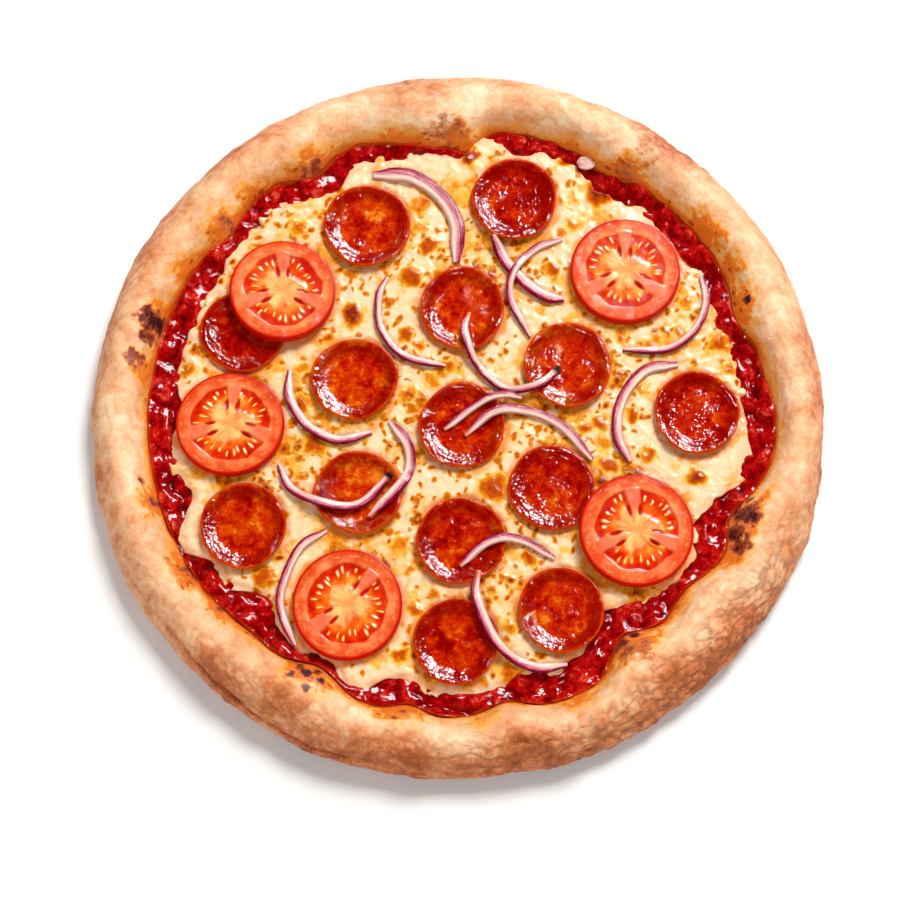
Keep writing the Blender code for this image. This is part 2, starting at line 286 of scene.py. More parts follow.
# Camera
camera = {"elevation": 73.0, "away": 1.0, "target": (-0.0031, -0.0134, 0.0), "lens": 95.9}


def setCamera():
    lens = bpy.data.cameras.new("camera")
    lens.lens = camera["lens"]
    lens.sensor_width = 36.0
    lens.clip_end = 20.0
    holder = bpy.data.objects.new("camera", lens)
    bpy.context.scene.collection.objects.link(holder)
    tilt = math.radians(camera["elevation"])
    target = Vector(camera["target"])
    holder.location = target + camera["away"] * Vector((0.0, -math.cos(tilt), math.sin(tilt)))
    holder.rotation_euler = (target - holder.location).to_track_quat("-Z", "Y").to_euler()
    bpy.context.scene.camera = holder


# Outlines and heights that the pieces share
crust = {
    "outerRadius": 152.3, "innerRadius": 127.0, "floorTop": 5.0, "rimTop": 22.5,
    "steps": 720, "sectionPoints": 112,
    "section": [(0.0, 5.0), (0.05, 9.4), (0.13, 14.2), (0.25, 18.8), (0.40, 21.7), (0.55, 22.5),
                (0.70, 20.9), (0.84, 17.2), (0.95, 12.4), (1.0, 8.4), (0.97, 4.2), (0.89, 1.2),
                (0.79, 0.0)],
    "outerBulges": [(10, -0.5, 10), (70, -0.8, 10), (172, -1.0, 12), (245, 1.2, 12),
                    (290, 0.9, 8), (337, 1.1, 9)],
    "innerBulges": [(20, -5, 5), (60, -4, 5), (88, -8, 3.5), (94, -8, 6), (101, -3, 6),
                    (120, -6, 5), (141, -4, 5), (228, -3, 10), (243, -7, 6), (261, -4, 4),
                    (279, -5, 5), (305, -12, 6), (320, -9, 9), (338, -8, 6), (356, 4, 9)],
    "bubbles": [(92, 2.6, 7), (62, 1.4, 9), (118, 1.2, 8), (165, 1.5, 10), (205, 1.0, 9),
                (243, 1.8, 9), (300, 1.6, 12), (325, 2.0, 9), (20, 1.2, 8)],
    "wrinkled": [(318, 1.0, 24), (280, 0.6, 22), (240, 0.4, 20), (97, 0.6, 8), (52, 0.7, 8),
                 (150, 0.25, 20), (5, 0.4, 10)],
    "oilier": [(78, -0.15, 8), (100, 0.25, 10), (58, 0.25, 8), (130, 0.1, 25)],
    "browner": [(315, 0.26, 24), (275, 0.3, 30), (232, 0.16, 24), (97, 0.3, 7), (85, -0.1, 25),
                (52, 0.42, 6), (150, 0.1, 25), (178, 0.06, 18), (5, 0.1, 16)],
    "crackSize": 5.0, "ridgeSize": 9.0, "foldHeight": 14.0,
    # brown and black marks: x, y, radius, strength
    "scorches": [
        (-7, 125, 7, 0.58), (1, 123, 5, 0.5), (-61, 107, 6, 0.8), (-98, 82, 4, 0.7),
        (-127, 37, 6, 1.1), (-129, 30, 4, 0.9), (-133, 20, 4.5, 0.85), (84, 115, 11, 0.5),
        (73, 104, 6, 0.5), (121, 47, 2.2, 1.3), (112, 47, 1.4, 1.0), (114, 44, 1.0, 1.0),
        (117, -45, 7, 1.1), (113, -53, 5, 1.0), (115, -60, 4, 0.9), (120, -39, 3, 0.9),
        (70, -94, 3.5, 1.2), (62, -100, 3.5, 1.2), (71, -103, 8, 0.62), (66, -98, 3, 1.0),
        (-63, -109, 2.0, 1.0), (-60, -112, 2.4, 1.2), (-56, -111, 2.0, 1.1),
        (-66, -113, 2.0, 1.1), (-60, -118, 2.6, 1.1), (-55, -115, 2.2, 1.1),
        (-111, -68, 2.2, 0.8), (-107, -70, 1.8, 0.8), (-117, -65, 1.6, 0.7),
        (-95, -83, 3.0, 0.75), (-124, -40, 2.6, 0.8), (-120, -36, 1.6, 0.8),
        (-129, -32, 1.6, 0.6), (-25, -130, 1.4, 0.8), (-22, -127, 2.6, 0.6)],
    # oily orange patches on the inner slope
    "oils": [
        (0, 118, 10, 0.85), (-30, 121, 7, 0.5), (-60, 106, 12, 0.9), (-85, 93, 9, 0.8),
        (-98, 80, 10, 0.9), (-112, 60, 9, 0.8), (-124, 37, 10, 1.0), (-130, 18, 8, 0.7),
        (73, 104, 9, 0.9), (103, 78, 13, 1.0), (114, 62, 8, 0.9), (119, 46, 10, 1.0),
        (118, -46, 13, 1.0), (112, -62, 10, 0.8), (70, -98, 14, 1.0), (48, -118, 10, 0.7),
        (-60, -113, 13, 1.0), (-95, -83, 9, 0.9), (-110, -68, 11, 1.0), (-123, -40, 9, 0.9),
        (-23, -127, 12, 0.8), (10, -129, 10, 0.5)]}

cheese = {
    "radius": 118.0, "bottom": 7.3, "top": 10.0, "side": 1.6, "cells": 300,
    "bulges": [(18, -3, 6), (70, 4, 8), (84, 4, 4), (120, -5, 6), (173, -2, 6), (198, -4, 5),
               (206, 8, 5), (226, -8, 6), (246, 5, 9), (259, -5, 5), (284, -5, 6),
               (305, -14, 8), (316, -5, 6), (335, -7, 8), (352, 2, 6)],
    # blisters: x, y, radius, height, how brown
    "blisters": [
        (6.5, 115, 4.5, 1.8, 1.0), (-67, 82, 5, 1.4, 0.6), (-15, 93, 5, 1.0, 0.6),
        (-12, 74, 5, 1.5, 0.8), (-19, 60, 6, 2.2, 0.75), (61, 98, 7, 2.2, 1.0),
        (49, 84, 4.5, 1.2, 0.55), (40, 64, 5, 1.4, 0.8), (96, 49, 4, 1.3, 0.5),
        (109, 30, 7, 2.2, 0.75),
        (93, 35, 4, 1.2, 0.7), (-44, 43, 6, 1.6, 0.95), (-21, 34, 5, 1.2, 0.75),
        (-16, 29, 3, 0.8, 0.7), (-3, 21, 4, 1.1, 0.6), (-11, 14, 5, 0.8, 0.5),
        (-21, 8, 5, 0.9, 0.6), (72, -1, 4, 1.0, 0.7), (59, -4, 5, 1.1, 0.7),
        (53, -8, 4, 0.9, 0.65), (79, -18, 5, 1.0, 0.7), (-59, -14, 6, 1.4, 0.85),
        (-66, 4, 5, 1.1, 0.7), (-64, 20, 4, 0.8, 0.5), (-24, -56, 5, 1.2, 0.55),
        (-20, -67, 3, 0.8, 0.5), (-18, -83, 5, 1.3, 0.65), (-23, -103, 5, 1.2, 0.7),
        (-79, -70, 6.5, 1.9, 0.65), (-78, -84, 4.5, 1.2, 0.5), (98, -29, 5, 1.5, 0.9),
        (28, -63, 4.5, 1.1, 0.85), (20, -91, 4, 1.0, 0.55), (63, -24, 5, 1.0, 0.8),
        (15, -33, 7, 0.6, 0.8), (50, 96, 4, 1.0, 0.5), (47, 113, 4, 1.2, 0.7),
        (68, 34, 4, 0.6, 0.6), (82, 31, 5, 0.5, 0.45), (77, 10, 5, 0.7, 0.5),
        (2, 97, 5, 0.7, 0.4), (114, 20, 4, 0.9, 0.6), (21, -109, 6, 0.8, 0.6),
        (60, -14, 5, 0.7, 0.5), (-20, 74, 4, 0.6, 0.35), (-15, 84, 4, 0.5, 0.4)],
    "flecks": 1800, "clusters": 150, "clusterReach": 112.0, "clusterSpread": 8.0}

pepperoni = {
    "count": 14, "thick": 1.5, "steps": 144, "rings": 46,
    "curls": [2.3, 2.4, 2.2, 0.7, 2.2, 2.3, 2.0, 2.5, 2.0, 1.3, 2.4, 2.2, 2.4, 2.2],
    # how brown and orange each slice is, from 0 for red
    "tints": [0.6, 0.15, 0.75, 0.1, 0.8, 0.7, 0.45, 0.3, 0.8, 0.35, 0.6, 0.45, 0.5, 0.3]}

tomato = {
    "count": 5, "thick": 4.8, "steps": 240, "rings": 66,
    "walls": [(90, 200, 340), (90, 210, 325), (85, 195, 340), (50, 215), (95, 205, 340)],
    # the side that rests on a pepperoni slice, the tilt in degrees and the radii when flat
    "props": [(225, 4.9, (22.2, 22.5)), (0, 0.0, None), (0, 0.0, None), (0, 0.0, None),
              (151, 4.1, (23.4, 23.2))]}


def innerRadius(angle):
    return bulged(crust["innerRadius"], crust["innerBulges"], angle)


def cheeseRadius(angle):
    limit = innerRadius(angle) + bulged(-2.0, [(84, 5, 4)], angle)
    return np.minimum(bulged(cheese["radius"], cheese["bulges"], angle), limit)


def nodePlace(node):   # middle and half sizes of a solid, in mm
    low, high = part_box(node)
    return np.array((low + high) / 2) / mm, np.array((high - low) / 2) / mm


pepperoniPlaces = [nodePlace(f"pepperoni_{n:02d}") for n in range(1, pepperoni["count"] + 1)]
tomatoPlaces = [nodePlace(f"tomato_{n}") for n in range(1, tomato["count"] + 1)]


def openCheese(x, y, near=-0.5, far=3.0):   # 0 under a slice, 1 where the cheese is free
    share = np.ones_like(x)
    for middle, half in pepperoniPlaces + tomatoPlaces:
        away = np.hypot(x - middle[0], y - middle[1]) - (half[0] + half[1]) / 2
        share *= easeBetween(near, far, away)
    return share


def fleckPlaces():   # flecks in loose clusters: x, y, half length, half width, turn, strength
    draw = np.random.default_rng(5)
    middles = [(draw.uniform(0.0, math.tau), cheese["clusterReach"] * draw.uniform() ** 0.52)
               for _ in range(cheese["clusters"])]
    places = []
    while len(places) < cheese["flecks"]:
        turn, reach = middles[draw.integers(len(middles))]
        x = reach * math.cos(turn) + draw.normal(0.0, cheese["clusterSpread"])
        y = reach * math.sin(turn) + draw.normal(0.0, cheese["clusterSpread"])
        length = max(1.25, 0.9 * math.exp(draw.normal(0.35, 0.42)))
        width = max(0.85, length * draw.uniform(0.5, 0.95))
        places.append((x, y, length, width, draw.uniform(0.0, math.pi), draw.uniform(0.4, 1.1)))
    return places


flecks = fleckPlaces()


def fleckShare(x, y, reach=1.0):   # strength in the middle of a fleck, 0 from its edge on
    total = np.zeros_like(x)
    for placeX, placeY, length, width, turn, strength in flecks:
        near = np.nonzero(np.hypot(x - placeX, y - placeY) < length * reach)[0]
        aside, ahead = x[near] - placeX, y[near] - placeY
        along = (aside * math.cos(turn) + ahead * math.sin(turn)) / length
        across = (ahead * math.cos(turn) - aside * math.sin(turn)) / width
        inside = strength * np.clip(1.0 - np.hypot(along, across) / reach, 0.0, 1.0)
        total[near] = np.maximum(total[near], inside)
    return total


def blisterRise(x, y, column=3, reach=1.0):   # domes of the height, or of column 4, how brown
    flat = flatSpots(x, y)
    x = x + 1.7 * softNoise(flat, 4.5, 51.0) + 0.8 * softNoise(flat, 2.0, 52.0)
    y = y + 1.7 * softNoise(flat, 4.5, 53.0) + 0.8 * softNoise(flat, 2.0, 54.0)
    total = np.zeros_like(x)
    for blister in cheese["blisters"]:
        away = np.hypot(x - blister[0], y - blister[1]) / (blister[2] * reach)
        close = away < 1.0
        dome = (1.0 - away[close] ** 2) ** 1.3
        total[close] = np.maximum(total[close], blister[column] * dome)
    return total


def cheeseRelief(x, y):   # melted shreds: soft ridges that cross each other, pools between them
    flat = flatSpots(x, y)
    bend = flatSpots(softNoise(flat, 14.0, 41.0), softNoise(flat, 14.0, 43.0)) * 3.0
    bentX, bentY, _ = (flat + bend).T
    along, across = 1.0 / 13.0, 1.0 / 4.2   # ridges about 13 mm long, 4.2 mm apart
    relief = 0.0
    for turned, share in ((20.0, 0.45), (85.0, 0.4), (140.0, 0.4)):
        turn = math.radians(turned)
        grid = np.column_stack([(bentX * math.cos(turn) + bentY * math.sin(turn)) * along,
                                (bentY * math.cos(turn) - bentX * math.sin(turn)) * across,
                                np.full_like(x, turned)])
        relief = relief + share * ridgeNoise(grid, 1.0) ** 0.8
    return relief + 0.12 * softNoise(flat, 2.4, 9.0) + 0.5 * softNoise(flat, 20.0) - 0.45


def cheeseTop(x, y):
    free = openCheese(x, y)
    welt = 0.5 * (1.0 - openCheese(x, y, 0.5, 4.0))
    rise = 0.75 * blisterRise(x, y) + 0.4 * fleckShare(x, y, 1.3)
    inside = cheeseRadius(angleOf(x, y)) - np.hypot(x, y)
    drop = cheese["side"] * (1.0 - easeBetween(-1.0, 3.2, inside)) ** 1.5
    drop *= 1.0 - bulged(0.0, [(84, 1.2, 5)], angleOf(x, y))
    return cheese["top"] + (0.85 * cheeseRelief(x, y) + rise) * free + welt * free - drop


# Crust
def crustMaterial():
    material, tree = startMaterial("bakedCrust", IOR=1.4, Specular_IOR_Level=0.2)
    place = objectPlace(tree)
    broad = grain(tree, place, 17.0, 3.0, 0.5)
    patchy = grain(tree, place, 6.5, 4.0, 0.52, 0.7)
    fine = grain(tree, place, 1.9, 5.0, 0.66)
    grit = grain(tree, place, 0.7, 3.0, 0.6)
    level = weigh(tree, (mask(tree, "toast"), 1.0), (patchy, 1.0), (fine, 0.6), (broad, 0.9),
                  (grit, 0.2), start=-1.27)
    color = ramp(tree, level, (0.0, 254, 222, 182), (0.2, 252, 201, 153), (0.42, 244, 177, 128),
                 (0.68, 224, 134, 82), (1.0, 160, 74, 38))
    # painted shade: the cracks are painted a darker brown, as if shade lay in the creases
    color = blendColor(tree, math2(tree, "MULTIPLY", mask(tree, "crack"), 0.75), color,
                       shade(156, 84, 52))
    oily = weigh(tree, (mask(tree, "oil"), 1.0), (patchy, 0.7), (fine, 0.5), start=-0.5)
    color = layered(tree, color, (oily, 0.15, 0.7, 0.85, 255, 178, 70),
                    (oily, 0.6, 1.0, 0.85, 242, 116, 18))
    # small reddish dashes that run round the rim in its oily parts
    parts = add(tree, "ShaderNodeSeparateXYZ", {0: warped(tree, place, 3.0, 2.4)}).outputs
    ringway = math2(tree, "MULTIPLY", math2(tree, "ARCTAN2", parts[1], parts[0]), 30.0)
    away = add(tree, "ShaderNodeVectorMath", {0: place}, operation="LENGTH").outputs["Value"]
    flow = add(tree, "ShaderNodeCombineXYZ", {0: ringway, 1: math2(tree, "DIVIDE", away, 1.7 * mm)})
    cell = add(tree, "ShaderNodeTexVoronoi", {"Vector": flow.outputs[0], "Scale": 1.0})
    chance = add(tree, "ShaderNodeSeparateColor", {"Color": cell.outputs["Color"]}).outputs[0]
    dash = weigh(tree, (cell.outputs["Distance"], -1.0), (chance, 0.45), (oily, 0.5), start=-0.53)
    burnt = weigh(tree, (mask(tree, "scorch"), 1.0), (fine, 0.9), (patchy, 1.1), (grit, 0.5),
                  start=-1.25)
    # the last layer is painted shade: dark orange on the crust just above the sauce, in the crevice
    # between them
    color = layered(tree, color, (dash, 0.0, 0.14, 0.75, 166, 62, 20),
                    (burnt, 0.2, 0.55, 0.85, 214, 122, 72), (burnt, 0.45, 0.8, 0.95, 150, 62, 40),
                    (burnt, 0.85, 1.15, 1.0, 62, 26, 30),
                    (mask(tree, "stain"), 0.25, 0.8, 0.85, 196, 74, 14))
    skin = bumps(tree, patchy, 1.0, 0.55)
    skin = bumps(tree, fine, 0.5, 0.7, skin)
    skin = bumps(tree, grit, 0.15, 0.5, skin)
    return finishMaterial(material, Base_Color=color, Normal=skin,
                          Roughness=spread(tree, oily, 0.2, 0.9, 0.55, 0.24))


def crackLines(spots, size, where):   # 1 in the creases between the plates of a dry skin
    lines = np.zeros(len(spots))
    warp = np.column_stack([softNoise(spots, 3.0, shift) for shift in (31.0, 33.0, 35.0)])
    for index in np.nonzero(where > 0.03)[0]:
        first, second = voronoi(Vector((spots[index] + warp[index]) / size))[0][:2]
        lines[index] = 1.0 - min((second - first) / 0.22, 1.0)
    return lines * where


def makeCrust():
    width = crust["outerRadius"] - crust["innerRadius"]
    line = smoothLine([(out * width, height) for out, height in crust["section"]],
                      crust["sectionPoints"])
    section = [(0.0, crust["floorTop"]), (0.9, crust["floorTop"])]
    section += [(out / width + 1.0, height) for out, height in line]
    section += [(1.4, 0.0), (0.7, 0.0), (0.0, 0.0)]
    mesh = spunMesh("crust", section, crust["steps"])
    spots = readSpots(mesh)
    angle = angleOf(spots[:, 0], spots[:, 1])
    turn = np.radians(angle)
    out = np.hypot(spots[:, 0], spots[:, 1]) - 1.0
    height = spots[:, 2]
    inner = innerRadius(angle)
    outer = bulged(crust["outerRadius"], crust["outerBulges"], angle)
    reach = np.where(out < 0.0, inner * (1.0 + out), inner + out * (outer - inner))
    rise = bulged(0.0, crust["bubbles"], angle) / (crust["rimTop"] - crust["floorTop"])
    height = height + np.maximum(0.0, height - crust["floorTop"]) * rise
    around = flatSpots(np.cos(turn), np.sin(turn))
    spots = around * reach[:, None] + (0.0, 0.0, 1.0) * height[:, None]
    # relief pushes away from the middle line of the rim
    lean = np.column_stack([(out - 0.5) * width, height - 9.0])
    lean /= np.maximum(np.linalg.norm(lean, axis=1), 1e-6)[:, None]
    push = around * lean[:, :1] + (0.0, 0.0, 1.0) * lean[:, 1:]
    free = easeBetween(1.2, 6.0, height) * easeBetween(0.0, 0.12, out)
    wrinkled = np.clip(bulged(0.1, crust["wrinkled"], angle), 0.0, 1.0)
    wrinkled *= easeBetween(0.3, 0.65, out)
    crack = crackLines(spots, crust["crackSize"], wrinkled * easeBetween(2.0, 5.0, height))
    fold = np.exp(-((height - crust["foldHeight"] - 1.5 * np.sin(turn * 7.0)) / 1.1) ** 2)
    fold *= easeBetween(0.6, 0.75, out) * bulged(0.0, [(235, 1.0, 26)], angle)
    relief = 1.2 * roughNoise(spots, 22.0) + 0.55 * softNoise(spots, 8.0, 2.0)
    relief += 0.22 * softNoise(spots, 3.2, 4.0) + 0.1 * softNoise(spots, 1.5, 8.0)
    relief -= wrinkled * 0.8 * ridgeNoise(spots, crust["ridgeSize"], 6.0) + 0.7 * crack
    relief -= 0.9 * fold
    spots = spots + push * (relief * free)[:, None]
    placeSpots(mesh, spots)
    x, y, _ = spots.T
    wobble = 0.4 * softNoise(spots, 3.0, 12.0) + 0.3 * softNoise(spots, 1.3, 14.0)
    scorch = spotted(x, y, crust["scorches"], wobble) * easeBetween(2.0, 8.0, height)
    slope = 1.0 - easeBetween(0.28, 0.5, out + 0.1 * wobble)
    oil = 0.95 * np.exp(-(out / 0.12) ** 2) + 0.35 * slope * roughNoise(spots, 12.0)
    oil = np.maximum(oil, spotted(x, y, crust["oils"], wobble) * slope)
    oil += bulged(0.15, crust["oilier"], angle) * (1.0 - easeBetween(0.08, 0.36, out))
    toast = 0.22 + 0.16 * easeBetween(0.6, 1.0, out) + 0.25 * roughNoise(spots, 24.0)
    toast += bulged(0.0, crust["browner"], angle) * easeBetween(0.25, 0.75, out)
    toast += 0.35 * (1.0 - easeBetween(1.0, 9.0, height)) * (out > 0.6) + 0.3 * fold
    toast += 0.3 * (height < 0.5)
    # painted shade: marks the crust just above the sauce, to be painted dark orange as the shade in
    # the crevice
    stain = (1.0 - easeBetween(9.2, 11.2, height + 1.3 * softNoise(spots, 6.0, 20.0))) * (out < 0.3)
    paint(mesh, toast=toast, oil=oil, scorch=scorch, stain=stain, crack=crack)
    dressPiece("crust", mesh, crustMaterial(), "crust", "crust")


# Sauce
sauce = {"bottom": 5.3, "top": 7.0, "steps": 720, "rings": 46, "hidden": 0.6, "swell": 2.3}


def sauceMaterial():
    material, tree = startMaterial(
        "tomatoSauce", IOR=1.38, Specular_IOR_Level=0.0, Roughness=0.4, Coat_Weight=0.3,
        Coat_Roughness=0.1, Subsurface_Weight=0.06, Subsurface_Scale=0.002,
        Subsurface_Radius=(1.0, 0.15, 0.1))
    place = objectPlace(tree)
    pulp = grain(tree, warped(tree, place, 5.0, 3.0), 4.2, 5.0, 0.62, 0.6)
    fine = grain(tree, place, 1.2, 3.0, 0.6)
    # painted shade: the lumps' tops are painted lighter and the hollows between them darker
    level = weigh(tree, (pulp, 2.2), (fine, 0.9), (mask(tree, "crest"), 0.22), start=-1.25)
    color = ramp(tree, level, (0.0, 74, 0, 2), (0.28, 124, 0, 4), (0.55, 166, 5, 8),
                 (0.8, 194, 24, 18), (1.0, 218, 82, 56))
    film = grain(tree, place, 3.0, 1.0, 0.4)
    return finishMaterial(material, Base_Color=masked(tree, color, thin=(204, 66, 14)),
                          Normal=bumps(tree, pulp, 2.2, 0.6),
                          Coat_Normal=bumps(tree, film, 0.45, 0.9))


def makeSauce():
    hidden = sauce["hidden"]
    section = [(0.0, sauce["top"]), (0.3, sauce["top"])]
    section += [(hidden + (1.0 - hidden) * share, sauce["top"])
                for share in np.linspace(0.0, 1.0, sauce["rings"])]
    section += [(1.0, sauce["bottom"]), (0.0, sauce["bottom"])]
    mesh = spunMesh("sauce", section, sauce["steps"])
    spots = readSpots(mesh)
    angle = angleOf(spots[:, 0], spots[:, 1])
    turn = np.radians(angle)
    out = np.hypot(spots[:, 0], spots[:, 1])
    cover = cheeseRadius(angle) - 8.0
    wall = innerRadius(angle) + 1.2
    share = np.clip((out - hidden) / (1.0 - hidden), 0.0, 1.0)
    reach = np.where(out < hidden, cover * out / hidden, cover + (wall - cover) * share)
    spots = np.column_stack([reach * np.cos(turn), reach * np.sin(turn), spots[:, 2]])
    shown = easeBetween(-3.0, 3.0, reach - cheeseRadius(angle))
    flat = spots * (1.0, 1.0, 0.0)
    lumps = 1.4 * np.abs(softNoise(flat, 10.0, 1.0)) + 0.8 * np.abs(softNoise(flat, 5.5, 5.0))
    lumps += 0.25 * ridgeNoise(flat, 4.5, 15.0) + 0.1 * softNoise(flat, 2.4, 8.0)
    climb = 1.3 * easeBetween(0.55, 1.0, share)
    top = spots[:, 2] > sauce["top"] - 0.1
    spots[:, 2] += top * shown * (sauce["swell"] * lumps + climb - 0.4)
    placeSpots(mesh, spots)
    thin = easeBetween(0.93, 1.0, share + 0.03 * softNoise(flat, 4.0, 3.0)) * 0.6
    # the lumps' heights are kept to paint shade: lighter on top, darker in the hollows
    paint(mesh, crest=lumps, thin=thin)
    dressPiece("sauce", mesh, sauceMaterial(), "sauce", "sauce")


# Cheese
def cheeseMaterial():
    material, tree = startMaterial(
        "meltedCheese", IOR=1.42, Specular_IOR_Level=0.03, Roughness=0.4, Subsurface_Weight=0.15,
        Subsurface_Scale=0.003, Subsurface_Radius=(1.0, 0.55, 0.2), Coat_Weight=0.22,
        Coat_Roughness=0.08)
    place = objectPlace(tree)
    broad = grain(tree, place, 15.0, 3.0, 0.55)
    patchy = grain(tree, place, 6.0, 2.0, 0.45, 0.6)
    fine = grain(tree, place, 1.6, 3.0, 0.55)
    rich = weigh(tree, (mask(tree, "butter"), 1.0), (patchy, 2.0), (broad, 1.4),
                 (mask(tree, "lift"), -0.45), start=-1.52)
    color = ramp(tree, rich, (0.0, 251, 216, 172), (0.3, 249, 208, 150), (0.52, 246, 186, 100),
                 (0.75, 240, 152, 30), (1.0, 224, 118, 12))
    # orange oil seeping from the toppings, also painted warm shade around and beside them
    seep = weigh(tree, (mask(tree, "seep"), 1.0), (patchy, 1.8), (broad, 1.2), start=-1.65)
    blush = weigh(tree, (mask(tree, "blush"), 1.0), (patchy, 1.6), start=-0.95)
    halo = weigh(tree, (mask(tree, "halo"), 1.0), (fine, 0.3), start=-0.15)
    fleck = weigh(tree, (mask(tree, "fleck"), 1.0), (fine, 0.5), start=-0.25)
    toasted = weigh(tree, (mask(tree, "brown"), 1.0), (fine, 0.4), (patchy, 0.8), start=-0.6)
    color = layered(
        tree, color, (seep, 0.1, 1.0, 0.8, 232, 120, 20), (blush, 0.3, 1.0, 0.25, 232, 140, 104),
        (halo, 0.2, 0.5, 0.75, 240, 176, 56), (fleck, 0.12, 0.18, 0.95, 224, 136, 14),
        (fleck, 0.26, 0.36, 0.9, 202, 98, 4), (fleck, 0.54, 0.7, 0.9, 132, 34, 2),
        (toasted, 0.06, 0.22, 0.85, 247, 188, 70), (toasted, 0.26, 0.44, 1.0, 226, 132, 14),
        (toasted, 0.5, 0.68, 1.0, 194, 80, 4), (toasted, 0.8, 1.0, 0.85, 126, 26, 8))
    soft = bumps(tree, patchy, 1.6, 0.6)
    return finishMaterial(material, Base_Color=color, Normal=soft,
                          Coat_Normal=bumps(tree, fine, 0.25, 0.5, soft))


def onionNear(x, y):   # 1 beside a strip of onion, 0 from a few millimetres away on
    total = np.zeros_like(x)
    for width, points in onion["strips"]:
        line = smoothLine(points, 60)
        low, high = line.min(axis=0) - 7.0, line.max(axis=0) + 7.0
        near = np.nonzero((x > low[0]) & (x < high[0]) & (y > low[1]) & (y < high[1]))[0]
        away = np.hypot(x[near, None] - line[:, 0], y[near, None] - line[:, 1]).min(axis=1)
        beside = 1.0 - easeBetween(0.5 * width, 0.5 * width + 3.5, away)
        total[near] = np.maximum(total[near], beside)
    return total


def makeCheese():
    cells = cheese["cells"]
    form = bmesh.new()
    bmesh.ops.create_grid(form, x_segments=cells, y_segments=cells, size=1.0)
    border = [edge for edge in form.edges if edge.is_boundary]
    for level in (-1.0, -2.0):   # a side wall, then a floor drawn in to the middle
        made = bmesh.ops.extrude_edge_only(form, edges=border)["geom"]
        for vertex in [item for item in made if isinstance(item, bmesh.types.BMVert)]:
            vertex.co.z = level
            if level == -2.0:
                vertex.co.x, vertex.co.y = 0.0, 0.0
        border = [item for item in made if isinstance(item, bmesh.types.BMEdge)
                  and item.is_boundary]
    bmesh.ops.remove_doubles(form, verts=form.verts[:], dist=1e-6)
    bmesh.ops.recalc_face_normals(form, faces=form.faces[:])
    mesh = meshFrom(form, "cheese")
    spots = readSpots(mesh)
    across, along, level = spots.T
    # a square grid drawn into a disc whose cells stay alike in size
    wide = np.abs(across) > np.abs(along)
    reach = np.where(wide, across, along)
    safe = np.where(np.abs(reach) < 1e-9, 1.0, reach)
    turn = np.where(wide, math.pi / 4 * along / safe, math.pi / 2 - math.pi / 4 * across / safe)
    x, y = reach * np.cos(turn), reach * np.sin(turn)
    share = np.hypot(x, y)
    angle = angleOf(x, y)
    ring = flatSpots(x, y) / np.maximum(share, 1e-6)[:, None] * cheese["radius"]
    ragged = 3.4 * softNoise(ring, 13.0, 4.0) + 1.8 * softNoise(ring, 6.0, 6.0)
    ragged += 0.8 * softNoise(ring, 2.6, 8.0)
    limit = innerRadius(angle) + bulged(-0.5, [(84, 4, 4)], angle)
    edge = np.minimum(cheeseRadius(angle) + ragged, limit)
    radius = cheese["radius"] + (edge - cheese["radius"]) * share ** 4
    x, y = x * radius, y * radius
    flat = flatSpots(x, y)
    inside = edge - share * radius
    lumps = 0.8 * softNoise(flat, 3.4, 25.0) * (1.0 - easeBetween(2.0, 10.0, inside))
    height = np.where(level < -0.5, cheese["bottom"] - 0.6, cheeseTop(x, y) + lumps)
    placeSpots(mesh, np.column_stack([x, y, height]))
    brown = blisterRise(x, y, 4, 1.05) * 1.1
    golden = blisterRise(x, y, 4, 1.5)
    bentX, bentY = x + 0.9 * softNoise(flat, 2.4, 61.0), y + 0.9 * softNoise(flat, 2.4, 63.0)
    # oil seeping from the toppings, and painted warm shade beside them, near slices and onion
    # strips
    seep = np.maximum(1.0 - openCheese(x, y, -0.5, 5.5), 0.6 * onionNear(x, y))
    butter = 0.3 * softNoise(flat, 26.0, 3.0) + 0.3 * golden
    butter += 0.1 * easeBetween(30.0, 80.0, x) - 0.2 * (1.0 - easeBetween(1.0, 10.0, inside))
    blush = 1.0 - easeBetween(0.0, 9.0, inside)
    paint(mesh, brown=brown, butter=butter, lift=cheeseRelief(x, y), seep=seep, blush=blush,
          fleck=fleckShare(bentX, bentY, 1.15), halo=fleckShare(bentX, bentY, 1.9))
    dressPiece("cheese", mesh, cheeseMaterial(), "cheese", "cheese")


shreds = {"count": 34, "length": (4.0, 9.0), "thick": (2.6, 3.8), "height": (7.5, 8.2), "seed": 21}


def makeShreds():   # half-melted bits of cheese round the edge
    draw = np.random.default_rng(shreds["seed"])
    form = bmesh.new()
    for _ in range(shreds["count"]):
        around = draw.uniform(0.0, 360.0)
        spotAngle = np.array([around])
        length, thick = draw.uniform(*shreds["length"]), draw.uniform(*shreds["thick"])
        reach = cheeseRadius(spotAngle)[0] + draw.uniform(-5.0, 1.0)
        reach = min(reach, innerRadius(spotAngle)[0] - 0.5 * length)
        turn, curve = draw.uniform(0.0, math.tau), draw.uniform(-0.08, 0.08)
        height = draw.uniform(*shreds["height"])
        made = bmesh.ops.create_icosphere(form, subdivisions=4, radius=0.5)["verts"]
        for vertex in made:
            along = vertex.co.x * length
            side = vertex.co.y * thick * 1.3 + curve * along ** 2
            vertex.co = Vector((along, side, vertex.co.z * thick * 0.8))
        bmesh.ops.rotate(form, verts=made, cent=(0, 0, 0), matrix=Matrix.Rotation(turn, 3, "Z"))
        middle = Vector((reach * math.cos(math.radians(around)),
                         reach * math.sin(math.radians(around)), height))
        bmesh.ops.translate(form, verts=made, vec=middle)
    mesh = meshFrom(form, "cheeseShreds")
    spots = readSpots(mesh)
    lumpy = np.column_stack([roughNoise(spots, 3.0, 2, shift) for shift in (3.0, 5.0, 7.0)])
    placeSpots(mesh, spots + lumpy)
    blank = np.zeros(len(spots))
    paint(mesh, butter=blank - 0.05 + 0.3 * softNoise(spots, 6.0, 2.0), lift=blank + 0.2)
    dressPiece("cheeseShreds", mesh, bpy.data.materials["meltedCheese"], "cheese")


